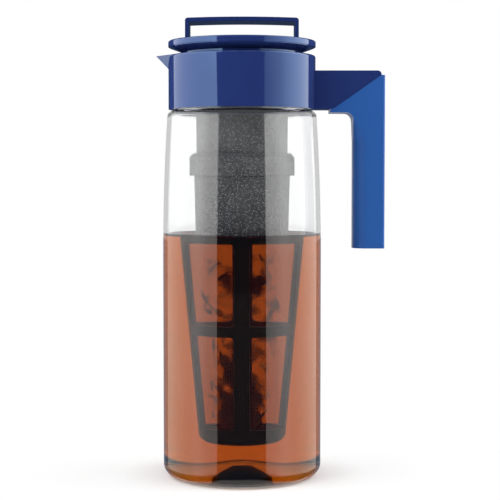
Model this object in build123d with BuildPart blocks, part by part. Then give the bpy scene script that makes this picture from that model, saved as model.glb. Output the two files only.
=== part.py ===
from build123d import *
from math import hypot, radians, tan
import os

# An iced tea maker: a tall clear jar with a spouted collar and an angled handle. Its lid is held
# by a bayonet and carries a hanging infuser. Millimetres, +Z up, the jar's axis on Z, the foot
# on z = 0, the spout towards -X and the handle towards +X.

# Clearances
turning_gap = 0.3  # between round faces that turn or slide past each other
snug_gap = 0.1  # between pieces that are fixed to each other
easy_gap = 0.5  # round anything that is lowered through an opening

# Jar
jar_radius = 50.4
jar_wall = 2.5
jar_floor = 3.0
base_corner = 7.9
standing_ring = 4.5  # width of the flat ring that the jar stands on
punt_slope = 13.8  # degrees, of the cone under the floor inside the standing ring
punt_tip = 8.0  # the cone's top is rounded out to this radius
jar_height = 233.0  # to the top of the shoulder
flare_length = 93.0  # the wall draws in over this length below the shoulder
shoulder_overhang = 0.8  # the shoulder stands this far out from the collar
shoulder_corner = 3.5
neck_wall = 2.4
neck_height = 13.0
bead_size = 0.9  # snap bead round the neck
bead_height = 7.0  # above the shoulder

# Collar and spout
collar_radius = 46.7
collar_height = 33.8
collar_gap = 1.0  # shadow gap between the shoulder and the collar
socket_wall = 3.2
mouth_wall = 2.6
rim_round = 1.2
neck_seal_height = 1.0
shelf_thickness = 2.5
shelf_step = 3.2  # the shelf reaches this far inside the neck's bore
spout_reach = 7.9
spout_drop = 8.2
spout_half_width = 14.6
spout_wall = 1.5

# Handle
arm_height = 24.0
arm_half_width = 12.0
arm_corner = 2.5
finger_gap = 19.8  # between the jar and the grip
grip_depth = 19.9
grip_length = 88.0  # below the arm
grip_proud = 0.3  # the soft grip stands out this far beside the arm
grip_skin = 2.2
grip_base = 3.0
grip_round = 9.0  # corners on the side of the fingers
grip_edge = 1.5  # corners on the outer side
elbow_radius = 4.8
blend_length = 14.0  # the grip's round side turns square over this length
seam_foot_reach = 10.9  # from the collar's wall to the foot of the slanting seam
lip_length = 1.9  # the grip's lip runs this far past the seam's foot
seam_head_drop = 2.8  # from the top of the arm to the head of the seam
tenon_depth = 1.4
tenon_half_width = 8.0
tenon_inset = 4.0

# Lid
lug_count = 3
lug_half_angle = 14.0
lug_thickness = 2.5
lug_gap = 0.7  # between the lid's lugs and the neck's bore
notch_margin = 2.0  # degrees either side of a lug
lid_turn = 60.0  # degrees from open to locked
stop_half_angle = 2.0
stop_margin = 0.7  # degrees
lid_seal_height = 3.0
plug_wall = 2.3
plate_thickness = 2.2
pour_gap = 5.5  # between the collar's rim and the lid's disc
disc_overhang = 0.1
disc_height = 3.7
disc_bevel = 0.6
disc_skin = 2.1
seam_step = 0.8
seam_height = 0.4
cone_angle = 20.0
cone_skin = 1.6
upstand_wall = 2.0
upstand_inset = 1.6  # from the cone's edge to the upstand that holds the disc

# Strap on the lid
strap_half_width = 35.7
strap_height = 14.5
strap_rise = 0.7
strap_depth = 25.6
strap_thickness = 2.5
strap_corner = 1.8
tab_half_depth = 8.0
tab_thickness = 1.7
tab_length = 1.3  # below the lid's disc
barb_size = 0.7

# Infuser
pass_gap = 4.1  # between the coupling ring and the throat that it is lowered through
spigot_length = 8.5
spigot_wall = 2.2
spigot_bead = 0.4
tube_gasket_height = 1.0
tube_wall = 2.0
tube_draft = 0.4
coupling_drop = 27.0  # from the jar's shoulder to the top of the coupling ring
coupling_height = 14.0
coupling_chamfer = 2.6
coupling_wall = 2.9
coupling_lip = 6.0
coupling_lug_reach = 1.3
coupling_lug_height = 2.7
coupling_lug_half_angle = 16.0
coupling_turn = 60.0  # degrees from locked to free
coupling_socket = 3.0
coupling_gasket_height = 1.2
basket_wall = 2.8
sleeve_length = 42.5
sleeve_draft = 1.0
basket_foot_radius = 20.5
basket_corner = 6.0
basket_floor = 3.0
floor_gap = 11.2  # between the jar's floor and the basket
foot_band = 10.0
lower_window_height = 59.0
rail_height = 6.5
rib_width = 8.2
window_corner = 2.6
mesh_thickness = 0.5
mesh_inset = 1.1

# Heights that follow from them
punt_radius = jar_radius - base_corner - standing_ring
punt_side = (punt_radius - punt_tip) * tan(radians(punt_slope))
punt_height = punt_side + punt_tip * tan(radians(punt_slope / 2))
neck_top = jar_height + neck_height
collar_bottom = jar_height + collar_gap
collar_top = collar_bottom + collar_height
shelf_bottom = neck_top + neck_seal_height
shelf_top = shelf_bottom + shelf_thickness
lug_top = shelf_bottom - turning_gap
lug_bottom = lug_top - lug_thickness
plate_bottom = shelf_top + lid_seal_height
plate_top = plate_bottom + plate_thickness
disc_bottom = collar_top + pour_gap
disc_top = disc_bottom + disc_height
disc_under = disc_top - disc_skin
strap_top = disc_top + strap_height
tube_top = plate_bottom - tube_gasket_height
coupling_top = jar_height - coupling_drop
coupling_bottom = coupling_top - coupling_height
basket_top = coupling_bottom + coupling_socket
tube_bottom = basket_top + coupling_gasket_height
coupling_lip_bottom = coupling_top - coupling_lip
window_top = coupling_bottom - sleeve_length
basket_bottom = punt_height + jar_floor + floor_gap
window_bottom = basket_bottom + foot_band
rail_bottom = window_bottom + lower_window_height
rail_top = rail_bottom + rail_height

# Radii that follow from them
shoulder_radius = collar_radius + shoulder_overhang
socket_radius = collar_radius - socket_wall
mouth_radius = collar_radius - mouth_wall
neck_radius = socket_radius - turning_gap
neck_bore = neck_radius - neck_wall
throat_radius = neck_bore - shelf_step
lug_radius = neck_bore - lug_gap
notch_radius = lug_radius + easy_gap
plug_radius = throat_radius - turning_gap
plug_bore = plug_radius - plug_wall
flange_radius = mouth_radius - easy_gap
disc_radius = collar_radius + disc_overhang
cone_radius = disc_radius - seam_step
cone_top = disc_bottom - seam_height
cone_bottom = cone_top - (cone_radius - plug_radius) * tan(radians(cone_angle))
upstand_radius = cone_radius - upstand_inset
coupling_radius = throat_radius - pass_gap
chamber_radius = coupling_radius - coupling_wall
coupling_lug_radius = chamber_radius - turning_gap
tube_radius = coupling_lug_radius - coupling_lug_reach
tube_top_radius = tube_radius + tube_draft
tube_bore = tube_radius - tube_wall
tube_top_bore = tube_top_radius - tube_wall
spigot_radius = tube_top_bore - snug_gap
basket_radius = chamber_radius - snug_gap
sleeve_foot_radius = basket_radius - sleeve_draft

# Handle places that follow from them
arm_bottom = collar_bottom
arm_top = arm_bottom + arm_height
grip_inner = jar_radius + finger_gap
grip_outer = grip_inner + grip_depth
grip_bottom = arm_bottom - grip_length
grip_half_width = arm_half_width + grip_proud
lip_bottom = arm_bottom - grip_skin
arm_end = grip_outer - grip_skin - snug_gap
tang_inner = grip_inner + grip_skin + snug_gap
tang_half_width = grip_half_width - grip_skin - snug_gap
tang_round = grip_round - grip_skin
tang_bottom = grip_bottom + grip_base
seam_foot = collar_radius + seam_foot_reach
seam_head = arm_top - seam_head_drop
blend_top = lip_bottom - elbow_radius - snug_gap
blend_bottom = blend_top - blend_length


os.makedirs("parts", exist_ok=True)


def arc_block(inner_radius, outer_radius, half_angle, bottom, top):
    """A block between two radii, half_angle degrees either side of +X."""
    with BuildPart() as block:
        with BuildSketch(Plane.XY.offset(bottom)):
            with BuildLine():
                outside = CenterArc((0, 0), outer_radius, -half_angle, 2 * half_angle)
                inside = CenterArc((0, 0), inner_radius, -half_angle, 2 * half_angle)
                Line(outside @ 0, inside @ 0)
                Line(outside @ 1, inside @ 1)
            make_face()
        extrude(amount=top - bottom)
    return block.part


def beak(tip_x, root_x):
    """The spout's V shape under the rim: a tip, level top edges and a slanting keel."""
    length = root_x - tip_x
    half_width = length * spout_half_width / spout_length
    drop = length * spout_drop / spout_reach
    with BuildPart() as wedge:
        with BuildSketch(Plane.YZ.offset(root_x)) as root:
            with BuildLine():
                Polyline(
                    (-half_width, collar_top),
                    (half_width, collar_top),
                    (0, collar_top - drop),
                    close=True,
                )
            make_face()
        loft(sections=[root.sketch, Vertex(tip_x, 0, collar_top)])
    return wedge.part


def grip_section(height, corner):
    """The grip's level section, with the given corners on the side of the fingers."""
    with BuildSketch(Plane.XY.offset(height)) as section:
        with Locations(((grip_inner + grip_outer) / 2, 0)):
            Rectangle(grip_depth, 2 * grip_half_width)
        fillet(section.vertices().group_by(Axis.X)[0], corner)
        fillet(section.vertices().group_by(Axis.X)[-1], grip_edge)
    return section.sketch


def tang(gap):
    """The handle's tang and the part of its arm that the grip covers, grown by gap."""
    with BuildPart() as core:
        with BuildSketch(Plane.XY.offset(tang_bottom - gap)) as section:
            with Locations(((tang_inner + arm_end) / 2, 0)):
                Rectangle(arm_end - tang_inner + 2 * gap, 2 * (tang_half_width + gap))
            fillet(section.vertices().group_by(Axis.X)[0], tang_round)
        extrude(amount=arm_bottom - tang_bottom + gap + grip_skin)
        with BuildSketch(Plane.XZ):
            with BuildLine():
                Polyline(
                    (seam_foot, arm_bottom),
                    (arm_end + gap, arm_bottom),
                    (arm_end + gap, seam_head),
                    (seam_foot, seam_head),
                    close=True,
                )
            make_face()
        extrude(amount=tang_half_width + gap, both=True)
    return core.part


# Jar: one blown piece with a coned floor, a drawn-in shoulder and a neck.
with BuildPart() as jar:
    with BuildSketch(Plane.XZ):
        with BuildLine():
            tip = TangentArc((0, punt_height), (punt_tip, punt_side), tangent=(1, 0))
            cone = Line(tip @ 1, (punt_radius, 0))
            foot = Line(cone @ 1, (jar_radius - base_corner, 0))
            corner = TangentArc(foot @ 1, (jar_radius, base_corner), tangent=(1, 0))
            wall = Line(corner @ 1, (jar_radius, jar_height - flare_length))
            flare = TangentArc(wall @ 1, (shoulder_radius, jar_height - shoulder_corner), tangent=(0, 1))
            shoulder = TangentArc(
                flare @ 1, (shoulder_radius - shoulder_corner, jar_height), tangent=flare % 1
            )
            Polyline(
                shoulder @ 1,
                (neck_radius, jar_height),
                (neck_radius, neck_top),
                (0, neck_top),
                tip @ 0,
            )
        make_face()
    revolve(axis=Axis.Z)
    with BuildSketch(Plane.XZ):
        with Locations((neck_radius, jar_height + bead_height)):
            Circle(bead_size)
    revolve(axis=Axis.Z)
    inner_radius = jar_radius - jar_wall
    inner_corner = base_corner - jar_wall
    inner_shoulder = shoulder_radius - jar_wall
    with BuildSketch(Plane.XZ):
        with BuildLine():
            tip = TangentArc(
                (0, punt_height + jar_floor), (punt_tip, punt_side + jar_floor), tangent=(1, 0)
            )
            cone = Line(tip @ 1, (punt_radius, jar_floor))
            foot = Line(cone @ 1, (inner_radius - inner_corner, jar_floor))
            corner = TangentArc(foot @ 1, (inner_radius, jar_floor + inner_corner), tangent=(1, 0))
            wall = Line(corner @ 1, (inner_radius, jar_height - flare_length))
            flare = TangentArc(
                wall @ 1, (inner_shoulder, jar_height - jar_wall - shoulder_corner / 2), tangent=(0, 1)
            )
            Polyline(
                flare @ 1,
                (inner_shoulder - shoulder_corner / 2, jar_height - jar_wall),
                (neck_bore, jar_height - jar_wall),
                (neck_bore, neck_top),
                (0, neck_top),
                tip @ 0,
            )
        make_face()
    revolve(axis=Axis.Z, mode=Mode.SUBTRACT)

jar.part.label = "jar"
export_step(jar.part, "parts/jar.step")

# Neck seal: a flat ring between the neck's top and the collar's shelf.
with BuildPart() as neck_seal:
    with BuildSketch(Plane.XY.offset(neck_top)):
        Circle(neck_radius - snug_gap)
        Circle(neck_bore + snug_gap, mode=Mode.SUBTRACT)
    extrude(amount=neck_seal_height)

neck_seal.part.label = "neck_seal"
export_step(neck_seal.part, "parts/neck_seal.step")

# Collar: snaps over the neck. It has the spout, and an inner shelf that the lid locks under.
spout_tip_x = -(collar_radius + spout_reach)
spout_base_x = -((collar_radius**2 - spout_half_width**2) ** 0.5)
spout_length = spout_base_x - spout_tip_x
spout_depth = spout_drop * spout_length / spout_reach
# The part of a move along X that a face of the V makes squarely to itself
face_lean = (spout_half_width * spout_depth) / hypot(
    spout_half_width * spout_depth, spout_length * spout_depth, spout_half_width * spout_length
)
beak_outside = beak(spout_tip_x, -(mouth_radius - mouth_wall))
beak_channel = beak(spout_tip_x + spout_wall / face_lean, -throat_radius)
notch = arc_block(plug_bore, notch_radius, lug_half_angle + notch_margin, shelf_bottom, shelf_top)
stop = arc_block(throat_radius, lug_radius, stop_half_angle, lug_bottom, shelf_bottom)
stop_angle = lug_half_angle + stop_half_angle + stop_margin

with BuildPart() as collar:
    with BuildSketch(Plane.XY.offset(collar_bottom)):
        Circle(collar_radius)
    extrude(amount=collar_height)
    fillet(collar.edges().group_by(Axis.Z)[-1], rim_round)
    add(beak_outside)
    with BuildSketch(Plane.XZ):
        with BuildLine():
            Polyline(
                (0, collar_bottom),
                (socket_radius, collar_bottom),
                (socket_radius, shelf_bottom),
                (throat_radius, shelf_bottom),
                (throat_radius, shelf_top),
                (mouth_radius, shelf_top),
                (mouth_radius, collar_top),
                (0, collar_top),
                close=True,
            )
        make_face()
    revolve(axis=Axis.Z, mode=Mode.SUBTRACT)
    with BuildSketch(Plane.XZ):
        with Locations((neck_radius, jar_height + bead_height)):
            Circle(bead_size + turning_gap)
    revolve(axis=Axis.Z, mode=Mode.SUBTRACT)
    add(beak_channel, mode=Mode.SUBTRACT)
    with PolarLocations(0, lug_count):
        add(notch, mode=Mode.SUBTRACT)
    with PolarLocations(0, lug_count, start_angle=stop_angle):
        add(stop)
    with PolarLocations(0, lug_count, start_angle=-(lid_turn + stop_angle)):
        add(stop)
    with Locations((collar_radius, 0, arm_bottom + arm_height / 2)):
        Box(
            2 * (tenon_depth + snug_gap),
            2 * (tenon_half_width + snug_gap),
            arm_height - 2 * tenon_inset + 2 * snug_gap,
            mode=Mode.SUBTRACT,
        )

collar.part.label = "collar"
export_step(collar.part, "parts/collar.step")

# Handle core: a stiff arm welded to the collar by a tenon, and a tang that the grip covers.
with BuildPart() as handle_core:
    with BuildSketch(Plane.XZ) as arm_side:
        with BuildLine():
            Polyline(
                (mouth_radius - mouth_wall, arm_bottom),
                (seam_foot, arm_bottom),
                (arm_end, seam_head),
                (arm_end, arm_top),
                (mouth_radius - mouth_wall, arm_top),
                close=True,
            )
        make_face()
        fillet(arm_side.vertices().group_by(Axis.Y)[-1].sort_by(Axis.X)[-1], arm_corner)
    extrude(amount=arm_half_width, both=True)
    add(tang(0))
    with BuildSketch(Plane.XY.offset(arm_bottom)):
        Circle(collar_radius)
    extrude(amount=arm_height, mode=Mode.SUBTRACT)
    with Locations((collar_radius, 0, arm_bottom + arm_height / 2)):
        Box(
            tenon_depth,
            2 * tenon_half_width,
            arm_height - 2 * tenon_inset,
            align=(Align.MAX, Align.CENTER, Align.CENTER),
        )
        Box(
            tenon_depth,
            2 * tenon_half_width,
            arm_height - 2 * tenon_inset,
            align=(Align.MIN, Align.CENTER, Align.CENTER),
        )

handle_core.part.label = "handle_core"
export_step(handle_core.part, "parts/handle_core.step")

# Grip: a soft sleeve pushed up over the tang. Its slanting end meets the arm along a seam.
with BuildPart() as handle_grip:
    with BuildSketch(Plane.XZ) as grip_side:
        with BuildLine():
            Polyline(
                (seam_foot - lip_length, lip_bottom),
                (grip_inner, lip_bottom),
                (grip_inner, blend_top),
                (grip_outer, blend_top),
                (grip_outer, seam_head),
                (arm_end, seam_head),
                (seam_foot, arm_bottom),
                (seam_foot - lip_length, arm_bottom),
                close=True,
            )
        make_face()
        elbow = grip_side.vertices().sort_by_distance((grip_inner, lip_bottom))[0]
        fillet(elbow, elbow_radius)
    extrude(amount=grip_half_width, both=True)
    fillet(handle_grip.edges().filter_by(Axis.Z).group_by(Axis.X)[-1], grip_edge)
    loft(
        sections=[
            grip_section(grip_bottom, grip_round),
            grip_section(blend_bottom, grip_round),
            grip_section(blend_top, grip_edge),
        ],
        ruled=True,
    )
    add(tang(snug_gap), mode=Mode.SUBTRACT)

handle_grip.part.label = "handle_grip"
export_step(handle_grip.part, "parts/handle_grip.step")

# Lid seal: a flat ring that closes the throat. It lies on the shelf, under the lid's flange.
with BuildPart() as lid_seal:
    with BuildSketch(Plane.XY.offset(shelf_top)):
        Circle(flange_radius - turning_gap)
        Circle(throat_radius, mode=Mode.SUBTRACT)
    extrude(amount=lid_seal_height)

lid_seal.part.label = "lid_seal"
export_step(lid_seal.part, "parts/lid_seal.step")

# Lid plug: the lid's lower shell, with a flange, legs with bayonet lugs and the tube's spigot.
leg = arc_block(plug_bore, plug_radius, lug_half_angle, lug_bottom, plate_bottom)
lug = arc_block(plug_bore, lug_radius, lug_half_angle, lug_bottom, lug_top)
spigot_bead_height = plate_bottom - spigot_length + 2 * spigot_bead

with BuildPart() as lid_plug:
    with BuildSketch(Plane.XZ):
        with BuildLine():
            Polyline(
                (0, plate_bottom),
                (flange_radius, plate_bottom),
                (flange_radius, plate_top),
                (plug_radius, plate_top),
                (plug_radius, cone_bottom),
                (cone_radius, cone_top),
                (cone_radius, disc_bottom),
                (upstand_radius, disc_bottom),
                (upstand_radius, disc_under - snug_gap),
                (upstand_radius - upstand_wall, disc_under - snug_gap),
                (upstand_radius - upstand_wall, disc_bottom),
                (plug_bore, cone_bottom + cone_skin),
                (plug_bore, plate_top),
                (0, plate_top),
                close=True,
            )
        make_face()
    revolve(axis=Axis.Z)
    with PolarLocations(0, lug_count):
        add(leg)
        add(lug)
    with BuildSketch(Plane.XY.offset(plate_bottom)):
        Circle(spigot_radius)
        Circle(spigot_radius - spigot_wall, mode=Mode.SUBTRACT)
    extrude(amount=-spigot_length)
    with BuildSketch(Plane.XZ):
        with Locations((spigot_radius, spigot_bead_height)):
            Circle(spigot_bead)
    revolve(axis=Axis.Z)

lid_plug.part.label = "lid_plug"
export_step(lid_plug.part, "parts/lid_plug.step")

# Lid disc: the flat cover that snaps over the plug's upstand.
with BuildPart() as lid_disc:
    with BuildSketch(Plane.XZ):
        with BuildLine():
            Polyline(
                (0, disc_under),
                (upstand_radius + snug_gap, disc_under),
                (upstand_radius + snug_gap, disc_bottom),
                (disc_radius, disc_bottom),
                (disc_radius, disc_top - disc_bevel),
                (disc_radius - disc_bevel, disc_top),
                (0, disc_top),
                close=True,
            )
        make_face()
    revolve(axis=Axis.Z)
    tab_centre = strap_half_width - strap_thickness / 2
    with Locations((tab_centre, 0, disc_top), (-tab_centre, 0, disc_top)):
        Box(
            tab_thickness + 2 * snug_gap,
            2 * (tab_half_depth + snug_gap),
            2 * disc_skin,
            mode=Mode.SUBTRACT,
        )

lid_disc.part.label = "lid_disc"
export_step(lid_disc.part, "parts/lid_disc.step")

# Lid strap: a wide fixed loop. Its barbed tabs snap through the disc.
with BuildPart() as lid_strap:
    with BuildSketch(Plane.XZ) as loop:
        with BuildLine():
            crown = ThreePointArc(
                (-strap_half_width, strap_top - strap_rise),
                (0, strap_top),
                (strap_half_width, strap_top - strap_rise),
            )
            Polyline(crown @ 0, (-strap_half_width, disc_top), (strap_half_width, disc_top), crown @ 1)
        make_face()
        fillet(loop.vertices().group_by(Axis.Y)[-1], strap_corner)
        with BuildLine():
            inside = strap_half_width - strap_thickness
            ceiling = strap_top - strap_thickness
            crown = ThreePointArc(
                (-inside, ceiling - strap_rise), (0, ceiling), (inside, ceiling - strap_rise)
            )
            Polyline(crown @ 0, (-inside, disc_top), (inside, disc_top), crown @ 1)
        make_face(mode=Mode.SUBTRACT)
    extrude(amount=strap_depth / 2, both=True)
    with BuildSketch(Plane.XZ):
        with BuildLine():
            tab_outer = tab_centre + tab_thickness / 2
            tab_inner = tab_centre - tab_thickness / 2
            barb_top = disc_under - snug_gap
            Polyline(
                (tab_outer, disc_top),
                (tab_outer, disc_under - tab_length),
                (tab_inner, disc_under - tab_length),
                (tab_inner - barb_size, barb_top - barb_size / 2),
                (tab_inner - barb_size, barb_top),
                (tab_inner, barb_top),
                (tab_inner, disc_top),
                close=True,
            )
        make_face()
    extrude(amount=tab_half_depth, both=True)
    mirror(about=Plane.YZ)

lid_strap.part.label = "lid_strap"
export_step(lid_strap.part, "parts/lid_strap.step")

# Infuser tube: the upper half of the infuser. It hangs from the spigot and ends in lugs.
tube_lug = arc_block(
    tube_bore,
    coupling_lug_radius,
    coupling_lug_half_angle,
    coupling_lip_bottom - turning_gap - coupling_lug_height,
    coupling_lip_bottom - turning_gap,
)

with BuildPart() as infuser_tube:
    with BuildSketch(Plane.XZ):
        with BuildLine():
            Polyline(
                (tube_bore, tube_bottom),
                (tube_radius, tube_bottom),
                (tube_radius, coupling_top + easy_gap),
                (tube_top_radius, tube_top),
                (tube_top_bore, tube_top),
                (tube_top_bore, plate_bottom - spigot_length - easy_gap),
                (tube_bore, coupling_top + easy_gap),
                close=True,
            )
        make_face()
    revolve(axis=Axis.Z)
    with BuildSketch(Plane.XZ):
        with Locations((spigot_radius, spigot_bead_height)):
            Circle(spigot_bead + snug_gap)
    revolve(axis=Axis.Z, mode=Mode.SUBTRACT)
    with PolarLocations(0, lug_count, start_angle=coupling_turn):
        add(tube_lug)

infuser_tube.part.label = "infuser_tube"
export_step(infuser_tube.part, "parts/infuser_tube.step")

# Tube gasket: a flat ring between the lid's plate and the tube.
with BuildPart() as tube_gasket:
    with BuildSketch(Plane.XY.offset(tube_top)):
        Circle(tube_top_radius)
        Circle(tube_top_bore, mode=Mode.SUBTRACT)
    extrude(amount=tube_gasket_height)

tube_gasket.part.label = "tube_gasket"
export_step(tube_gasket.part, "parts/tube_gasket.step")

# Coupling ring: a finger ring welded round the basket's top. Notches in its lip let the lugs in.
lip_notch = arc_block(
    tube_bore,
    chamber_radius,
    coupling_lug_half_angle + notch_margin,
    coupling_lip_bottom,
    coupling_top,
)

with BuildPart() as coupling_ring:
    with BuildSketch(Plane.XZ):
        with BuildLine():
            Polyline(
                (coupling_radius, coupling_bottom),
                (coupling_radius, coupling_top - coupling_chamfer),
                (coupling_radius - coupling_chamfer, coupling_top),
                (tube_radius + turning_gap, coupling_top),
                (tube_radius + turning_gap, coupling_lip_bottom),
                (chamber_radius, coupling_lip_bottom),
                (chamber_radius, coupling_bottom),
                close=True,
            )
        make_face()
    revolve(axis=Axis.Z)
    with PolarLocations(0, lug_count):
        add(lip_notch, mode=Mode.SUBTRACT)

coupling_ring.part.label = "coupling_ring"
export_step(coupling_ring.part, "parts/coupling_ring.step")

# Coupling gasket: a flat ring between the tube's end and the basket's top.
with BuildPart() as coupling_gasket:
    with BuildSketch(Plane.XY.offset(basket_top)):
        Circle(basket_radius - snug_gap)
        Circle(tube_bore, mode=Mode.SUBTRACT)
    extrude(amount=coupling_gasket_height)

coupling_gasket.part.label = "coupling_gasket"
export_step(coupling_gasket.part, "parts/coupling_gasket.step")


def window(bottom, top):
    """What one quarter's window takes out of the basket, between two ribs and two bands."""
    with BuildPart() as opening:
        with BuildSketch(Plane.XY.offset(bottom)):
            Rectangle(coupling_radius, coupling_radius, align=(Align.MIN, Align.MIN))
        extrude(amount=top - bottom)
        near_x = opening.edges().filter_by(Axis.Y).group_by(Axis.X)[0]
        near_y = opening.edges().filter_by(Axis.X).group_by(Axis.Y)[0]
        fillet(near_x + near_y, window_corner)
    return opening.part.moved(Location((rib_width / 2, rib_width / 2, 0)))


lower_window = window(window_bottom, rail_bottom)
upper_window = window(rail_top, window_top)

# Basket: the moulded frame, a plain sleeve above and ribs, rails and a closed foot below.
with BuildPart() as infuser_basket:
    with BuildSketch(Plane.XZ) as outline:
        with BuildLine():
            Polyline(
                (0, basket_bottom),
                (basket_foot_radius, basket_bottom),
                (sleeve_foot_radius, window_top),
                (basket_radius, coupling_bottom),
                (basket_radius, basket_top),
                (0, basket_top),
                close=True,
            )
        make_face()
        fillet(outline.vertices().group_by(Axis.Y)[0].sort_by(Axis.X)[-1], basket_corner)
    revolve(axis=Axis.Z)
    with BuildSketch(Plane.XZ) as hollow:
        with BuildLine():
            Polyline(
                (0, basket_bottom + basket_floor),
                (basket_foot_radius - basket_wall, basket_bottom + basket_floor),
                (sleeve_foot_radius - basket_wall, window_top),
                (basket_radius - basket_wall, coupling_bottom),
                (basket_radius - basket_wall, basket_top),
                (0, basket_top),
                close=True,
            )
        make_face()
        fillet(
            hollow.vertices().group_by(Axis.Y)[0].sort_by(Axis.X)[-1], basket_corner - basket_wall
        )
    revolve(axis=Axis.Z, mode=Mode.SUBTRACT)
    with PolarLocations(0, 4):
        add(lower_window, mode=Mode.SUBTRACT)
        add(upper_window, mode=Mode.SUBTRACT)

infuser_basket.part.label = "infuser_basket"
export_step(infuser_basket.part, "parts/infuser_basket.step")


def mesh_row(opening, bottom, top):
    """The fine mesh in one row of windows, as thin curved panels set into the frame."""
    taper = (sleeve_foot_radius - basket_foot_radius) / (window_top - basket_bottom)
    foot_radius = basket_foot_radius + (bottom - basket_bottom) * taper - mesh_inset
    head_radius = foot_radius + (top - bottom) * taper
    with BuildPart() as openings:
        with PolarLocations(0, 4):
            add(opening)
    with BuildPart() as panels:
        with BuildSketch(Plane.XZ):
            with BuildLine():
                Polyline(
                    (foot_radius - mesh_thickness, bottom),
                    (foot_radius, bottom),
                    (head_radius, top),
                    (head_radius - mesh_thickness, top),
                    close=True,
                )
            make_face()
        revolve(axis=Axis.Z)
        add(openings.part, mode=Mode.INTERSECT)
    return panels.part


lower_mesh = mesh_row(lower_window, window_bottom, rail_bottom)
lower_mesh.label = "lower_mesh"
export_step(lower_mesh, "parts/lower_mesh.step")

upper_mesh = mesh_row(upper_window, rail_top, window_top)
upper_mesh.label = "upper_mesh"
export_step(upper_mesh, "parts/upper_mesh.step")
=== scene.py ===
import random
from math import cos, pi, radians, sin, tan

import bmesh
import bpy
from mathutils import Euler, Matrix, Vector


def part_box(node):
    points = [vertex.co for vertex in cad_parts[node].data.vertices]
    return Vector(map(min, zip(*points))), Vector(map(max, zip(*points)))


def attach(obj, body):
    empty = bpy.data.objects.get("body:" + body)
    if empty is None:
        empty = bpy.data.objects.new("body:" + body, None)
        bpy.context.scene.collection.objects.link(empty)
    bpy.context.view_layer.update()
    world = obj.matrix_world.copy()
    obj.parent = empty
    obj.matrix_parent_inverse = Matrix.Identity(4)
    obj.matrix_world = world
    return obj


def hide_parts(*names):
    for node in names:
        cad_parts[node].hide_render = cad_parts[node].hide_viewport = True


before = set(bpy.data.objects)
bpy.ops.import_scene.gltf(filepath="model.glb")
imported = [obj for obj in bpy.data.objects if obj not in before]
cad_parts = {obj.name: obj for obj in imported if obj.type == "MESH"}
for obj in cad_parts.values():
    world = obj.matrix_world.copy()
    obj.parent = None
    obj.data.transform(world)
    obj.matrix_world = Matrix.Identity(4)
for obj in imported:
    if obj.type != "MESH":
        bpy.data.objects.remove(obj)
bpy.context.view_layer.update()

# ---------------------------------------------------------------------------
# Jar
# The jar is one clear blown piece, with a coned floor, a drawn-in shoulder and a neck that the
# collar snaps over. Where tea wets its inner wall, that wall bends light less than it does in air.
# ---------------------------------------------------------------------------
_, jar_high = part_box("jar")
collar_low, collar_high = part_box("collar")
jar_steps = 256  # faces round it
jar_crease = 12  # degrees
jar_radius = jar_high.x
jar_wall = 0.0025
jar_floor = 0.003
base_corner = 0.0079
base_top = base_corner + 0.002  # the wall is upright from here up
punt_radius = 0.038  # the floor's cone, inside the standing ring
punt_slope = radians(13.8)
punt_tip = 0.008
flare_start = 0.140  # the wall draws in from here up
flare_step = 0.004
flare_rings = 22
seam_gap = 0.001  # between the shoulder and the collar's lower edge
shoulder_proud = 0.0008  # the shoulder stands out from the collar by this much
shoulder_height = collar_low.z - seam_gap
shoulder_radius = collar_high.y + shoulder_proud
shoulder_corner = 0.0035
neck_radius = 0.0432
neck_bore = 0.0408
neck_corner = 0.0005
bead_height = shoulder_height + 0.007
bead_reach = 0.0009
tea_level = 0.154
tea_climb = 0.0016  # the tea climbs the wall by this much
clear_plastic_ior = 1.52
tea_ior = 1.333


def turned(outline, steps):
    """A mesh turned round the jar's axis from (radius, height) points, in that many steps. A
    third value at a point rounds it with that radius."""
    bm = bmesh.new()
    points = [bm.verts.new((point[0], 0, point[1])) for point in outline]
    for near, far in zip(points, points[1:]):
        bm.edges.new((near, far))
    if outline[0][0] > 0 or outline[-1][0] > 0:
        bm.edges.new((points[-1], points[0]))
    for point, place in zip(points, outline):
        if len(place) > 2:
            ways = [edge.other_vert(point).co - point.co for edge in point.link_edges]
            bmesh.ops.bevel(
                bm, geom=[point], offset=place[2] / tan(ways[0].angle(ways[1]) / 2),
                segments=8, profile=0.5, affect="VERTICES", material=-1,
            )
    bmesh.ops.spin(
        bm, geom=bm.verts[:] + bm.edges[:], axis=(0, 0, 1), cent=(0, 0, 0), angle=2 * pi,
        steps=steps, use_merge=True,
    )
    return bm


def finished(name, bm, *materials, crease=20):
    """The object of a mesh: merged, facing outwards, and smooth but for its edges past the crease
    angle, in degrees."""
    bmesh.ops.remove_doubles(bm, verts=bm.verts[:], dist=1e-6)
    bmesh.ops.recalc_face_normals(bm, faces=bm.faces[:])
    for face in bm.faces:
        face.smooth = True
    for edge in bm.edges:
        edge.smooth = edge.is_manifold and edge.calc_face_angle() < radians(crease)
    mesh = bpy.data.meshes.new(name)
    bm.to_mesh(mesh)
    bm.free()
    for material in materials:
        mesh.materials.append(material)
    shape = bpy.data.objects.new(name, mesh)
    bpy.context.scene.collection.objects.link(shape)
    even = shape.modifiers.new("even_shading", "WEIGHTED_NORMAL")
    even.keep_sharp = True
    return shape


def new_material(name):
    """A material with its node tree, Principled node and output."""
    material = bpy.data.materials.new(name)
    material.use_nodes = True
    tree = material.node_tree
    return material, tree, tree.nodes["Principled BSDF"], tree.nodes["Material Output"]


def pattern(tree, kind, scale, **settings):
    """A texture node on the piece's own coordinates, in metres."""
    place = tree.nodes.new("ShaderNodeTexCoord")
    texture = tree.nodes.new(kind)
    tree.links.new(place.outputs["Object"], texture.inputs["Vector"])
    texture.inputs["Scale"].default_value = scale
    for name, value in settings.items():
        texture.inputs[name].default_value = value
    return texture


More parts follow.
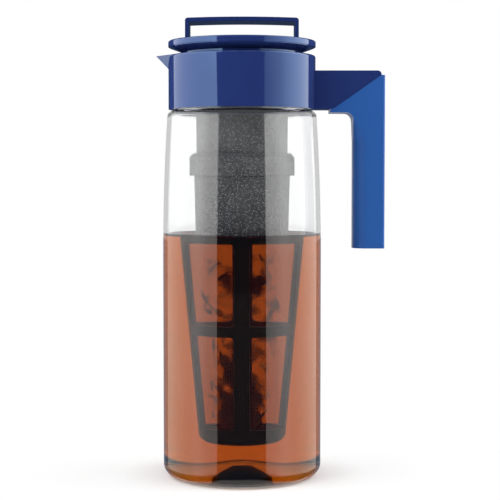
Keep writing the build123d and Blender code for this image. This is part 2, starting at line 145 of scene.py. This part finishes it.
def bumped(tree, shader, height, depth):
    """Gives the shader a bump of that depth, in metres, from a height between 0 and 1."""
    bump = tree.nodes.new("ShaderNodeBump")
    bump.inputs["Distance"].default_value = depth
    tree.links.new(height, bump.inputs["Height"])
    tree.links.new(bump.outputs["Normal"], shader.inputs["Normal"])


def shown(tree, share, first, second, output):
    """The surface shows the first shader, and by that share the second in its place."""
    mix = tree.nodes.new("ShaderNodeMixShader")
    tree.links.new(share, mix.inputs["Fac"])
    tree.links.new(first, mix.inputs[1])
    tree.links.new(second, mix.inputs[2])
    tree.links.new(mix.outputs["Shader"], output.inputs["Surface"])


def lets_lamps_through(tree, shader, output, tint):
    """Lamps reach what is inside: it casts a tinted light instead of a black shadow."""
    path = tree.nodes.new("ShaderNodeLightPath")
    clear = tree.nodes.new("ShaderNodeBsdfTransparent")
    clear.inputs["Color"].default_value = (*tint, 1)
    shown(
        tree, path.outputs["Is Shadow Ray"], shader.outputs["BSDF"], clear.outputs["BSDF"], output
    )


def clear_plastic(name, ior):
    """Clear moulded plastic with the faint flow marks of blowing."""
    material, tree, shader, output = new_material(name)
    shader.inputs["Base Color"].default_value = (0.85, 0.855, 0.855, 1)
    shader.inputs["Transmission Weight"].default_value = 1
    shader.inputs["IOR"].default_value = ior
    shader.inputs["Roughness"].default_value = 0
    flow = pattern(tree, "ShaderNodeTexNoise", scale=35, Detail=2)
    bumped(tree, shader, flow.outputs["Fac"], depth=0.00002)
    lets_lamps_through(tree, shader, output, (0.97, 0.975, 0.975))
    return material


dry_wall = clear_plastic("clear_plastic", clear_plastic_ior)
wet_wall = clear_plastic("wetted_plastic", clear_plastic_ior / tea_ior)


def wall(outer, top, *heights):
    """Points up the wall at those heights. It is upright to flare_start, then draws in to top."""
    draw = jar_radius - shoulder_radius
    return [
        (outer - draw * max(0, (height - flare_start) / (top - flare_start))**2, height)
        for height in heights
    ]


def floor_cone(base):
    """The jar's coned floor, from its rounded tip out to the standing ring."""
    corner = punt_tip / (1 + cos(punt_slope))
    height = base + (punt_radius - corner) * tan(punt_slope)
    widest_round = corner / tan(punt_slope / 2)  # the one that would end at the axis
    return [(0, height), (corner, height, 0.9 * widest_round), (punt_radius, base)]


inner_radius = jar_radius - jar_wall
inner_shoulder = shoulder_height - jar_wall
inner_shoulder_corner = 0.0018
inner_neck_corner = 0.0008
outer_flare_end = shoulder_height - shoulder_corner
inner_flare_end = inner_shoulder - 0.002  # under the corner's rounding
tea_top = tea_level + tea_climb
flare_heights = [flare_start + flare_step * ring for ring in range(flare_rings)]
wet_heights = [height for height in flare_heights if height < tea_top] + [tea_top]
dry_heights = [height for height in flare_heights if height > tea_top]
jar_mesh = turned(
    floor_cone(0)
    + [(jar_radius, 0, base_corner), (jar_radius, base_top)]
    + wall(jar_radius, outer_flare_end, *flare_heights, outer_flare_end)
    + [
        (shoulder_radius, shoulder_height, shoulder_corner),
        (neck_radius, shoulder_height, neck_corner),
        (neck_radius, bead_height - bead_reach),
        (neck_radius + bead_reach, bead_height),
        (neck_radius, bead_height + bead_reach),
        (neck_radius, jar_high.z, neck_corner),
        (neck_bore, jar_high.z, neck_corner),
        (neck_bore, inner_shoulder, inner_neck_corner),
        (shoulder_radius - jar_wall, inner_shoulder, inner_shoulder_corner),
    ]
    + wall(inner_radius, inner_flare_end, *wet_heights, *dry_heights, inner_flare_end)[::-1]
    + [(inner_radius, base_top), (inner_radius, jar_floor, base_corner - jar_wall)]
    + floor_cone(jar_floor)[::-1],
    steps=jar_steps,
)
jar = finished("clear_jar", jar_mesh, dry_wall, wet_wall, crease=jar_crease)
for face in jar.data.polygons:
    outwards = Vector((face.center.x, face.center.y, 0)).normalized()
    faces_inwards = face.normal.z - face.normal.dot(outwards) > 0.5  # up, or to the jar's axis
    if faces_inwards and face.center.z < tea_top:
        face.material_index = 1
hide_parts("jar")
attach(jar, "pitcher")

# ---------------------------------------------------------------------------
# Tea
# The jar is shown two thirds full of black tea. The tea fills the jar to its wall, climbs it a
# little at the rim, and takes its red-brown from what it swallows of the light on the way.
# ---------------------------------------------------------------------------
tea_gap = 0.00003  # keeps the tea's skin off the wall
tea_swallows = (7.5, 26.5, 58.0)  # of red, green and blue light, for each metre
tea_rim = [(0.0004, 0.4), (0.0012, 0.1), (0.003, 0)]  # (in from the wall, share of the climb)


def tea_material(name, ior):
    """Tea behind a surface that bends light by ior."""
    material, tree, shader, output = new_material(name)
    shader.inputs["Base Color"].default_value = (1, 1, 1, 1)
    shader.inputs["Roughness"].default_value = 0
    shader.inputs["Transmission Weight"].default_value = 1
    shader.inputs["IOR"].default_value = ior
    lets_lamps_through(tree, shader, output, (1, 1, 1))
    depth = max(tea_swallows)
    inside = tree.nodes.new("ShaderNodeVolumeAbsorption")
    inside.inputs["Density"].default_value = depth
    inside.inputs["Color"].default_value = (*[1 - share / depth for share in tea_swallows], 1)
    tree.links.new(inside.outputs["Volume"], output.inputs["Volume"])
    return material


tea_radius = inner_radius - tea_gap
rim_radius = wall(tea_radius, inner_flare_end, tea_top)[0][0]
tea_mesh = turned(
    floor_cone(jar_floor + tea_gap)
    + [(tea_radius, jar_floor + tea_gap, base_corner - jar_wall), (tea_radius, base_top)]
    + wall(tea_radius, inner_flare_end, *wet_heights)
    + [(rim_radius - inwards, tea_level + tea_climb * share) for inwards, share in tea_rim]
    + [(0, tea_level)],
    steps=jar_steps,
)
tea = finished(
    "black_tea", tea_mesh, tea_material("tea", 1.0), tea_material("tea_surface", tea_ior),
    crease=jar_crease,
)
for face in tea.data.polygons:
    faces_up = face.normal.z > 0.3
    if faces_up and face.center.z > tea_level - tea_gap:
        face.material_index = 1
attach(tea, "pitcher")

# ---------------------------------------------------------------------------
# Collar
# Polished navy plastic, snapped over the neck. Its V spout is moulded with it, and inside are the
# shelf, notches and stops that the lid's bayonet locks to.
# ---------------------------------------------------------------------------


def worked_copy(node, edge_round, crease=30):
    """A copy of the node's mesh, merged, with its edges past the crease angle rounded."""
    bm = bmesh.new()
    bm.from_mesh(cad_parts[node].data)
    bmesh.ops.remove_doubles(bm, verts=bm.verts[:], dist=1e-6)
    bmesh.ops.dissolve_limit(
        bm, angle_limit=radians(0.3), use_dissolve_boundaries=False, verts=bm.verts[:],
        edges=bm.edges[:],
    )
    sharp = [e for e in bm.edges if e.is_manifold and e.calc_face_angle() > radians(crease)]
    bmesh.ops.bevel(
        bm, geom=sharp, offset=edge_round, offset_type="OFFSET", segments=2, profile=0.5,
        affect="EDGES", material=-1, clamp_overlap=True,
    )
    return bm


def spread(tree, value, low, high, start=0.0, end=1.0):
    """The socket's value, moved from the range start..end to low..high."""
    node = tree.nodes.new("ShaderNodeMapRange")
    node.inputs["From Min"].default_value = start
    node.inputs["From Max"].default_value = end
    node.inputs["To Min"].default_value = low
    node.inputs["To Max"].default_value = high
    tree.links.new(value, node.inputs["Value"])
    return node.outputs["Result"]


def blended(tree, share, first, second):
    """The first colour, going over to the second by the share. Both are colours or sockets."""
    mix = tree.nodes.new("ShaderNodeMix")
    mix.data_type = "RGBA"
    tree.links.new(share, mix.inputs[0])
    for slot, colour in ((6, first), (7, second)):  # the node's inputs for colours
        if isinstance(colour, bpy.types.NodeSocket):
            tree.links.new(colour, mix.inputs[slot])
        else:
            mix.inputs[slot].default_value = (*colour, 1)
    return mix.outputs[2]


def polished_plastic(name, colour, roughness):
    """Glossy moulded plastic: clean, with a faint unevenness of polish."""
    material, tree, shader, _ = new_material(name)
    blotch = pattern(tree, "ShaderNodeTexNoise", scale=60, Detail=3).outputs["Fac"]
    paler = [1.12 * share for share in colour]
    tree.links.new(blended(tree, blotch, colour, paler), shader.inputs["Base Color"])
    tree.links.new(
        spread(tree, blotch, roughness * 0.7, roughness * 1.3), shader.inputs["Roughness"]
    )
    peel = pattern(tree, "ShaderNodeTexNoise", scale=700, Detail=1)
    bumped(tree, shader, peel.outputs["Fac"], depth=0.000004)
    shader.inputs["Specular IOR Level"].default_value = 0.97
    shader.inputs["Specular Tint"].default_value = (0.42, 0.66, 1, 1)
    return material


navy = polished_plastic("navy_plastic", (0.0155, 0.029, 0.13), roughness=0.05)
collar = finished("spouted_collar", worked_copy("collar", edge_round=0.0003), navy)
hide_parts("collar")
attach(collar, "pitcher")

# ---------------------------------------------------------------------------
# Handle core
# The stiff arm of the handle, of the collar's navy plastic and welded to it. Its hidden tang
# carries the grip.
# ---------------------------------------------------------------------------
handle_core = finished("handle_arm", worked_copy("handle_core", edge_round=0.0005), navy)
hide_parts("handle_core")
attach(handle_core, "pitcher")
handle_core.visible_glossy = False  # the jar and the collar mirror no handle

# ---------------------------------------------------------------------------
# Grip
# A soft silicone sleeve, royal blue and matte, with a fine grain. It is moulded with a closed
# foot and pushed up over the tang, and its slanting upper end meets the arm along a seam.
# ---------------------------------------------------------------------------
silicone, tree, shader, _ = new_material("blue_silicone")
shader.inputs["Base Color"].default_value = (0.0065, 0.084, 0.34, 1)
shader.inputs["Specular IOR Level"].default_value = 0.35
shader.inputs["Sheen Weight"].default_value = 0.8
shader.inputs["Sheen Roughness"].default_value = 0.35
grain = pattern(tree, "ShaderNodeTexNoise", scale=1800, Detail=2)
tree.links.new(spread(tree, grain.outputs["Fac"], 0.42, 0.62), shader.inputs["Roughness"])
bumped(tree, shader, grain.outputs["Fac"], depth=0.00003)
grip = finished("soft_grip", worked_copy("handle_grip", edge_round=0.0006), silicone)
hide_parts("handle_grip")
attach(grip, "pitcher")
grip.visible_glossy = False  # as the arm

# ---------------------------------------------------------------------------
# Seals
# Flat rings of pale silicone: under the collar's shelf, under the lid's flange, over the tube and
# inside the coupling. They keep the shape that the frame gives them.
# ---------------------------------------------------------------------------
seal_rubber, tree, shader, _ = new_material("seal_silicone")
cloud = pattern(tree, "ShaderNodeTexNoise", scale=120, Detail=3).outputs["Fac"]
milky = blended(tree, cloud, (0.62, 0.65, 0.66), (0.74, 0.76, 0.76))
tree.links.new(milky, shader.inputs["Base Color"])
shader.inputs["Subsurface Weight"].default_value = 0.1
tree.links.new(spread(tree, cloud, 0.45, 0.6), shader.inputs["Roughness"])


def given(material, *nodes):
    """Gives the frame's own meshes of those nodes that material."""
    for node in nodes:
        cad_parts[node].data.materials.clear()
        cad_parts[node].data.materials.append(material)


given(seal_rubber, "neck_seal", "lid_seal", "tube_gasket", "coupling_gasket")

# ---------------------------------------------------------------------------
# Lid plug
# The lid's lower shell: flange, bayonet legs, spigot, and the cone that turns the tea to the
# spout.
# ---------------------------------------------------------------------------
lid_plug = finished("lid_plug_shell", worked_copy("lid_plug", edge_round=0.0002), navy)
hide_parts("lid_plug")
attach(lid_plug, "lid")

# ---------------------------------------------------------------------------
# Lid disc
# The flat cover of the lid, of the same navy plastic. It is snapped over the plug's rim, and the
# strap's tabs go through it.
# ---------------------------------------------------------------------------
lid_disc = finished("lid_cover_disc", worked_copy("lid_disc", edge_round=0.0002), navy, crease=12)
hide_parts("lid_disc")
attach(lid_disc, "lid")

# ---------------------------------------------------------------------------
# Lid strap
# A wide fixed loop of navy plastic to lift and turn the lid by. Barbed tabs under its two feet
# are snapped in through the disc.
# ---------------------------------------------------------------------------
lid_strap = finished("lid_loop", worked_copy("lid_strap", edge_round=0.0002), navy)
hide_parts("lid_strap")
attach(lid_strap, "lid")

# ---------------------------------------------------------------------------
# Infuser tube and coupling ring
# Grey plastic with a spark-eroded, frosted skin. The tube hangs from the lid's spigot, and the
# ring, with thumb notches inside, holds the basket to it.
# ---------------------------------------------------------------------------


def maths(tree, operation, first, second):
    """The result of a maths node on two sockets or numbers."""
    node = tree.nodes.new("ShaderNodeMath")
    node.operation = operation
    for slot, value in enumerate((first, second)):
        if isinstance(value, bpy.types.NodeSocket):
            tree.links.new(value, node.inputs[slot])
        else:
            node.inputs[slot].default_value = value
    return node.outputs["Value"]


def coordinates(tree):
    """The piece's own X, Y and Z, in metres."""
    place = tree.nodes.new("ShaderNodeTexCoord")
    split = tree.nodes.new("ShaderNodeSeparateXYZ")
    tree.links.new(place.outputs["Object"], split.inputs["Vector"])
    return split.outputs


def frosted_plastic(name, low_grey, high_grey, glint_colour, darkening_top):
    """Grey plastic with a frosted skin. The bright specks in its colour are painted glints of that
    skin. It grows darker, in cloudy patches, from the top height given down to the tea line."""
    material, tree, shader, _ = new_material(name)
    cloud = pattern(tree, "ShaderNodeTexNoise", scale=70, Detail=3).outputs["Fac"]
    # darker towards the tea line, in cloudy patches
    rise_share = maths(
        tree, "ADD",
        spread(tree, coordinates(tree)["Z"], -0.15, 0.7, tea_level, darkening_top),
        spread(tree, cloud, 0, 0.5, 0.3, 0.7),
    )
    # bright specks painted into the colour: painted glints of the frosted skin
    dots = pattern(tree, "ShaderNodeTexVoronoi", scale=1250)
    brightness = tree.nodes.new("ShaderNodeSeparateColor")
    tree.links.new(dots.outputs["Color"], brightness.inputs["Color"])
    painted_glints = maths(
        tree, "MULTIPLY",
        spread(tree, dots.outputs["Distance"], 1, 0, 0.22, 0.5),
        spread(tree, brightness.outputs["Red"], 0, 1, 0.2, 1),
    )
    skin = blended(tree, painted_glints, blended(tree, rise_share, low_grey, high_grey), glint_colour)
    tree.links.new(skin, shader.inputs["Base Color"])
    tree.links.new(spread(tree, cloud, 0.5, 0.7), shader.inputs["Roughness"])
    bumped(tree, shader, painted_glints, depth=0.00004)
    return material


frosted = frosted_plastic(
    "frosted_plastic", (0.032, 0.032, 0.032), (0.135, 0.135, 0.135), (0.5, 0.5, 0.5),
    darkening_top=0.23,
)
tube_mesh = worked_copy("infuser_tube", edge_round=0.0002)
infuser_tube = finished("infuser_hanging_tube", tube_mesh, frosted)
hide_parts("infuser_tube")
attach(infuser_tube, "lid")

ring_mesh = worked_copy("coupling_ring", edge_round=0.0003)
coupling_ring = finished("infuser_finger_ring", ring_mesh, frosted)
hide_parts("coupling_ring")
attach(coupling_ring, "infuser")

# ---------------------------------------------------------------------------
# Basket
# One moulding: a sleeve over four ribs, a middle band and a closed foot. Above the tea its skin
# is frosted grey. Below the tea it is painted near-black, as painted shade for the tea's
# darkening.
# ---------------------------------------------------------------------------
# below the tea the same grey plastic is painted near-black: painted shade, not its own colour
painted_shade, tree, shader, _ = new_material("painted_shade_plastic")
shader.inputs["Roughness"].default_value = 0.35
shader.inputs["Specular IOR Level"].default_value = 0.1
cloud = pattern(tree, "ShaderNodeTexNoise", scale=70, Detail=3).outputs["Fac"]
near_black = blended(tree, cloud, (0.002, 0.0025, 0.003), (0.006, 0.006, 0.0065))
tree.links.new(near_black, shader.inputs["Base Color"])
basket_mesh = worked_copy("infuser_basket", edge_round=0.0003)
bmesh.ops.bisect_plane(
    basket_mesh, geom=basket_mesh.verts[:] + basket_mesh.edges[:] + basket_mesh.faces[:],
    plane_co=(0, 0, tea_level), plane_no=(0, 0, 1), dist=1e-7,
)
for face in basket_mesh.faces:
    face.material_index = int(face.calc_center_median().z < tea_level)
basket = finished("infuser_frame", basket_mesh, frosted, painted_shade)
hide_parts("infuser_basket")
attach(basket, "infuser")

# ---------------------------------------------------------------------------
# Mesh panels
# Fine nylon weave, moulded into the ribs and bands of the basket. It keeps the frame's own
# sheets, and the weave is cut out of them: threads round and up the cone.
# ---------------------------------------------------------------------------
thread_pitch = 0.0009
threads_round = 180  # at the foot they stand nearer than at the tea line
thread_cover = (0.02, 0.26)  # how much light a gap and a thread hold back
thread_edge = (0.33, 0.43)  # 0 is the middle of a gap, 0.5 the middle of a thread

nylon, tree, shader, _ = new_material("nylon_mesh")
shader.inputs["Roughness"].default_value = 0.5
shader.inputs["Specular IOR Level"].default_value = 0.2


def threads(tree, value, repeats):
    """The cover of a row of threads that repeats along the value."""
    wave = maths(tree, "PINGPONG", maths(tree, "MULTIPLY", value, repeats), 0.5)
    return spread(tree, wave, *thread_cover, *thread_edge)


axes = coordinates(tree)
turn = maths(tree, "ARCTAN2", axes["X"], axes["Y"])
weave = maths(
    tree, "MAXIMUM",
    threads(tree, turn, threads_round / (2 * pi)),
    threads(tree, axes["Z"], 1 / thread_pitch),
)
tree.links.new(weave, shader.inputs["Alpha"])
cloud = pattern(tree, "ShaderNodeTexNoise", scale=160, Detail=3).outputs["Fac"]
# the threads are red-brown, in cloudy patches
red_brown_threads = blended(tree, cloud, (0.07, 0.012, 0.003), (0.16, 0.03, 0.007))
tree.links.new(red_brown_threads, shader.inputs["Base Color"])
given(nylon, "lower_mesh", "upper_mesh")

# ---------------------------------------------------------------------------
# Tea leaves
# Soaked black tea, loose in the basket. The leaves are dark, curled flakes with ragged edges,
# most of them sunk towards the foot, and they show through the mesh.
# ---------------------------------------------------------------------------
leaf_count = 120
leaf_space = (0.017, 0.025)  # radius inside the basket, at its foot and at the tea line
leaf_margin = 0.002  # between the leaves and the mesh
leaf_heights = (0.0295, 0.140)
leaf_sizes = (0.011, 0.024)
leaf_bend = 0.12  # room for a leaf's curl, as a share of its size
leaf_curls = (0.2, 0.9)  # angle from end to end
leaf_tilt = 0.6  # off upright, either way
leaf_breadth = 0.65  # of its length
leaf_taper = 0.7  # of that breadth, towards the ends
leaf_ruffle = 0.05  # of its size
crowding_down = 1.8  # above 1, more of them lie near the foot
crowding_outwards = 0.4  # below 1, more of them lie near the mesh

leaf_brown, tree, shader, _ = new_material("soaked_leaf")
shader.inputs["Roughness"].default_value = 0.45
shader.inputs["Specular IOR Level"].default_value = 0.1
vein = pattern(tree, "ShaderNodeTexNoise", scale=110, Detail=2).outputs["Fac"]
place = tree.nodes.new("ShaderNodeTexCoord")
from_middle = tree.nodes.new("ShaderNodeVectorMath")
from_middle.operation = "DISTANCE"
from_middle.inputs[1].default_value = (0.5, 0.5, 0)
tree.links.new(place.outputs["UV"], from_middle.inputs[0])
body = maths(
    tree, "MULTIPLY",
    spread(tree, from_middle.outputs["Value"], 1, 0, 0.2, 0.5),
    spread(tree, vein, 0.15, 0.9, 0.38, 0.6),
)
tree.links.new(body, shader.inputs["Alpha"])
tea_brown = blended(tree, vein, (0.004, 0.002, 0.0015), (0.03, 0.009, 0.003))
tree.links.new(tea_brown, shader.inputs["Base Color"])
bumped(tree, shader, vein, depth=0.0003)

chance = random.Random(11)
leaves_mesh = bmesh.new()
leaves_mesh.loops.layers.uv.new("leaf")
for leaf in range(leaf_count):
    share = ((leaf + chance.random()) / leaf_count) ** crowding_down
    height = leaf_heights[0] + (leaf_heights[1] - leaf_heights[0]) * share
    reach = leaf_space[0] + (leaf_space[1] - leaf_space[0]) * share
    size = chance.uniform(*leaf_sizes)
    curl = chance.uniform(*leaf_curls) / size
    outermost = reach - leaf_bend * size - leaf_margin
    radius = outermost * chance.uniform(0.1, 1) ** crowding_outwards
    bearing = chance.uniform(0, 2 * pi)
    flake = bmesh.ops.create_grid(
        leaves_mesh, x_segments=7, y_segments=5, size=size / 2, calc_uvs=True
    )["verts"]
    pose = (
        Matrix.Rotation(bearing, 4, "Z")
        @ Matrix.Translation((radius, 0, height))
        @ Matrix.Rotation(pi / 2 + chance.uniform(-leaf_tilt, leaf_tilt), 4, "Y")
        @ Matrix.Rotation(chance.uniform(0, 2 * pi), 4, "Z")
    )
    for vert in flake:
        along = vert.co.x
        across = vert.co.y * leaf_breadth * (1 - (2 * along / size) ** 2 * leaf_taper)
        ruffle = chance.uniform(-leaf_ruffle, leaf_ruffle) * size
        vert.co = pose @ Vector((
            sin(along * curl) / curl, across, (cos(along * curl) - 1) / curl + ruffle
        ))
    sunk = leaf_heights[0] - min(vert.co.z for vert in flake)
    bmesh.ops.translate(leaves_mesh, verts=flake, vec=(0, 0, max(0, sunk)))
leaves = finished("soaked_leaves", leaves_mesh, leaf_brown, crease=80)
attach(leaves, "infuser")

# ---------------------------------------------------------------------------
# Floor
# A plain pale table top, matte, that takes the jar's faint shadow. It starts to glow round the
# jar's foot and is plain white from 20 cm on, so that no horizon shows.
# ---------------------------------------------------------------------------
floor_reach = 4
foot_glow = (0, 0.7, 0.049, 0.08)  # shares of white, and the distances from the axis for them
far_glow = (0, 0.3, 0.08, 0.2)

floor_mesh = bmesh.new()
bmesh.ops.create_grid(floor_mesh, x_segments=8, y_segments=8, size=floor_reach)
white, tree, shader, output = new_material("white_floor")
shader.inputs["Base Color"].default_value = (0.9, 0.9, 0.9, 1)
shader.inputs["Roughness"].default_value = 0.9
shader.inputs["Specular IOR Level"].default_value = 0.0


def seen_rays(tree):
    """One for rays by which something is seen, straight, mirrored or through the jar, and nought
    for those that only light it."""
    path = tree.nodes.new("ShaderNodeLightPath")
    straight_or_mirrored = maths(
        tree, "MAXIMUM", path.outputs["Is Camera Ray"], path.outputs["Is Glossy Ray"]
    )
    return maths(tree, "MAXIMUM", straight_or_mirrored, path.outputs["Is Transmission Ray"])


glow = tree.nodes.new("ShaderNodeEmission")
place = tree.nodes.new("ShaderNodeTexCoord")
length = tree.nodes.new("ShaderNodeVectorMath")
length.operation = "LENGTH"
tree.links.new(place.outputs["Object"], length.inputs[0])
near = spread(tree, length.outputs["Value"], *foot_glow)
far = spread(tree, length.outputs["Value"], *far_glow)
whiteness = maths(tree, "MULTIPLY", maths(tree, "ADD", near, far), seen_rays(tree))
shown(tree, whiteness, shader.outputs["BSDF"], glow.outputs["Emission"], output)
floor = finished("floor", floor_mesh, white)
floor.visible_glossy = False  # the cloth under it is mirrored in its place

# ---------------------------------------------------------------------------
# Cloths
# Navy cloth hangs all round the table and lies under it, so that the plastic mirrors it and looks
# deep. The clear jar mirrors its own, a navy one in front and pale and grey ones behind. Only
# reflections show them.
# ---------------------------------------------------------------------------


def glowing(name, colour, shown_to):
    """A material that sends out light, with its tree and emission node. Shown_to is "sharp", for
    the mirror reflections of the clear jar, or "soft", for all others. A ray that has gone
    through the jar without being turned back anywhere sees neither kind."""
    material, tree, shader, output = new_material(name)
    tree.nodes.remove(shader)
    glow = tree.nodes.new("ShaderNodeEmission")
    glow.inputs["Color"].default_value = (*colour, 1)
    path = tree.nodes.new("ShaderNodeLightPath")
    went_through = maths(
        tree, "MULTIPLY", path.outputs["Is Transmission Ray"],
        maths(tree, "LESS_THAN", path.outputs["Glossy Depth"], 0.5),
    )
    wrong_kind = path.outputs["Is Singular Ray"]
    if shown_to == "sharp":
        wrong_kind = maths(tree, "SUBTRACT", 1, wrong_kind)
    hidden = maths(tree, "MAXIMUM", went_through, wrong_kind)
    clear = tree.nodes.new("ShaderNodeBsdfTransparent")
    shown(tree, hidden, glow.outputs["Emission"], clear.outputs["BSDF"], output)
    return material, tree, glow


def hung(name, radius, start, turn, heights, colour, shown_to):
    """A curved sheet of cloth. Start and turn are angles round the jar, from behind it. The one
    for soft reflections is closed below."""
    material, _, _ = glowing(name, colour, shown_to)
    bm = bmesh.new()
    edge = [bm.verts.new((0, radius, height)) for height in heights]
    bm.edges.new(edge)
    bmesh.ops.rotate(bm, verts=edge, cent=(0, 0, 0), matrix=Matrix.Rotation(start, 3, "Z"))
    bmesh.ops.spin(
        bm, geom=edge + bm.edges[:], axis=(0, 0, 1), cent=(0, 0, 0), angle=turn, steps=48,
        use_merge=turn == 2 * pi,
    )
    if shown_to == "soft":
        bmesh.ops.create_circle(
            bm, cap_ends=True, segments=96, radius=radius,
            matrix=Matrix.Translation((0, 0, heights[0])),
        )
    cloth = finished(name, bm, material)
    cloth.visible_camera = False
    cloth.visible_diffuse = False
    cloth.visible_shadow = False


behind = radians(80)  # the cloths behind reach this far to either side
around = 2 * pi
cloth_foot = -1.0
grey_top = 0.09  # where the grey cloth behind gives way to the pale one
navy_cloth = (0.033, 0.052, 0.095)
pale_cloth = (0.72, 0.72, 0.72)
grey_cloth = (0.25, 0.3, 0.38)
hung("cloth_all_round", 1.6, 0, around, (cloth_foot, 2.4), navy_cloth, "soft")
hung(
    "cloth_in_front", 1.5, behind, around - 2 * behind, (cloth_foot, 0.7), navy_cloth, "sharp"
)
hung("pale_cloth_behind", 1.5, -behind, 2 * behind, (grey_top, 0.8), pale_cloth, "sharp")
hung("grey_cloth_behind", 1.5, -behind, 2 * behind, (cloth_foot, grey_top), grey_cloth, "sharp")

# ---------------------------------------------------------------------------
# Lamps
# Softboxes stand left and right, brighter towards one end. One pair lights the scene and shows
# in the plastic, and the other shows in the jar alone. The world is dim where it lights and white
# where it is seen.
# ---------------------------------------------------------------------------


def level_curve(tree, value, levels):
    """The socket's value, 0 to 1, turned into a level by (share, level) pairs."""
    curve = tree.nodes.new("ShaderNodeFloatCurve")
    top = max(level for _, level in levels)
    line = curve.mapping.curves[0]
    while len(line.points) < len(levels):
        line.points.new(0.5, 0.5)
    for point, (share_at, level) in zip(line.points, levels):
        point.location = (share_at, level / top)
    curve.mapping.update()
    tree.links.new(value, curve.inputs["Value"])
    return maths(tree, "MULTIPLY", curve.outputs["Value"], top)


def softbox(name, side, depths, heights, along, up, shown_to):
    """A tall glowing sheet at x = side, between two y and two z values. Its radiance is a level
    along y times a level up z, both as (share, level) pairs."""
    bm = bmesh.new()
    middle = Vector((side, sum(depths) / 2, sum(heights) / 2))
    upright = Euler((0, pi / 2, 0))
    size = Vector((heights[1] - heights[0], depths[1] - depths[0], 1))
    bmesh.ops.create_grid(
        bm, x_segments=1, y_segments=1, size=0.5,
        matrix=Matrix.LocRotScale(middle, upright, size),
    )
    material, tree, glow = glowing(name, (1, 1, 1), shown_to)
    axes = coordinates(tree)
    level = maths(
        tree, "MULTIPLY",
        level_curve(tree, spread(tree, axes["Y"], 0, 1, *depths), along),
        level_curve(tree, spread(tree, axes["Z"], 0, 1, *heights), up),
    )
    tree.links.new(level, glow.inputs["Strength"])
    box = finished(name, bm, material)
    box.visible_camera = False
    box.visible_shadow = False


lamp_side = 0.6
lamp_heights = (-0.9, 1.5)
brighter_above = [(0, 1), (0.5, 1), (0.525, 1.3), (1, 1.3)]
softbox(
    "left_softbox", -lamp_side, (-0.775, 0.5), lamp_heights,
    [(0, 2.6), (0.5, 2.25), (0.7, 2.0), (1, 1.75)], brighter_above, "soft",
)
softbox(
    "right_softbox", lamp_side, (-0.88, 0.4), lamp_heights,
    [(0, 0.6), (0.37, 1.35), (0.6, 2.5), (0.75, 2.8), (1, 2.4)], brighter_above, "soft",
)
jar_lamp_side = 0.61
jar_lamp_heights = (-0.9, 0.6)
from_the_foot = [
    (0, 0.04), (0.43, 0.05), (0.45, 0.12), (0.475, 0.65), (0.5, 0.75), (0.533, 0.7), (0.6, 0.82),
    (0.647, 0.82), (0.68, 0.95), (0.707, 1.15), (0.76, 1.2), (0.82, 1.4), (1, 1.4),
]
softbox(
    "left_jar_softbox", -jar_lamp_side, (-0.87, 0.62), jar_lamp_heights,
    [(0, 1.95), (0.195, 2.05), (0.27, 2.3), (0.4, 2.9), (0.5, 2.4), (0.7, 2.1), (1, 1.3)],
    from_the_foot, "sharp",
)
softbox(
    "right_jar_softbox", jar_lamp_side, (-0.9, 0.62), jar_lamp_heights,
    [(0, 2.0), (0.195, 2.25), (0.27, 2.6), (0.4, 3.1), (0.5, 2.5), (0.7, 2.4), (1, 1.7)],
    from_the_foot, "sharp",
)

world_light = 0.4  # on the object
world_white = 1.0  # where it is seen
world = bpy.data.worlds.new("studio")
bpy.context.scene.world = world
world.use_nodes = True
tree = world.node_tree
background = tree.nodes["Background"]
background.inputs["Color"].default_value = (1, 1, 1, 1)
strength = spread(tree, seen_rays(tree), world_light, world_white)
tree.links.new(strength, background.inputs["Strength"])

# ---------------------------------------------------------------------------
# Camera
# A long lens that faces the jar from the side, with the spout left and the handle right. It is as
# high as the coupling ring, a little off the jar's axis, and tilted down.
# ---------------------------------------------------------------------------
camera_tilt = radians(3.014)
camera = bpy.data.cameras.new("camera")
camera.lens = 102.54
camera.sensor_width = 36
camera.clip_start = 0.01
viewer = bpy.data.objects.new("camera", camera)
bpy.context.scene.collection.objects.link(viewer)
viewer.location = (0.0051, -0.9107, 0.1924)
viewer.rotation_euler = (pi / 2 - camera_tilt, 0, 0)
bpy.context.scene.camera = viewer

bpy.context.scene.view_settings.view_transform = "Standard"
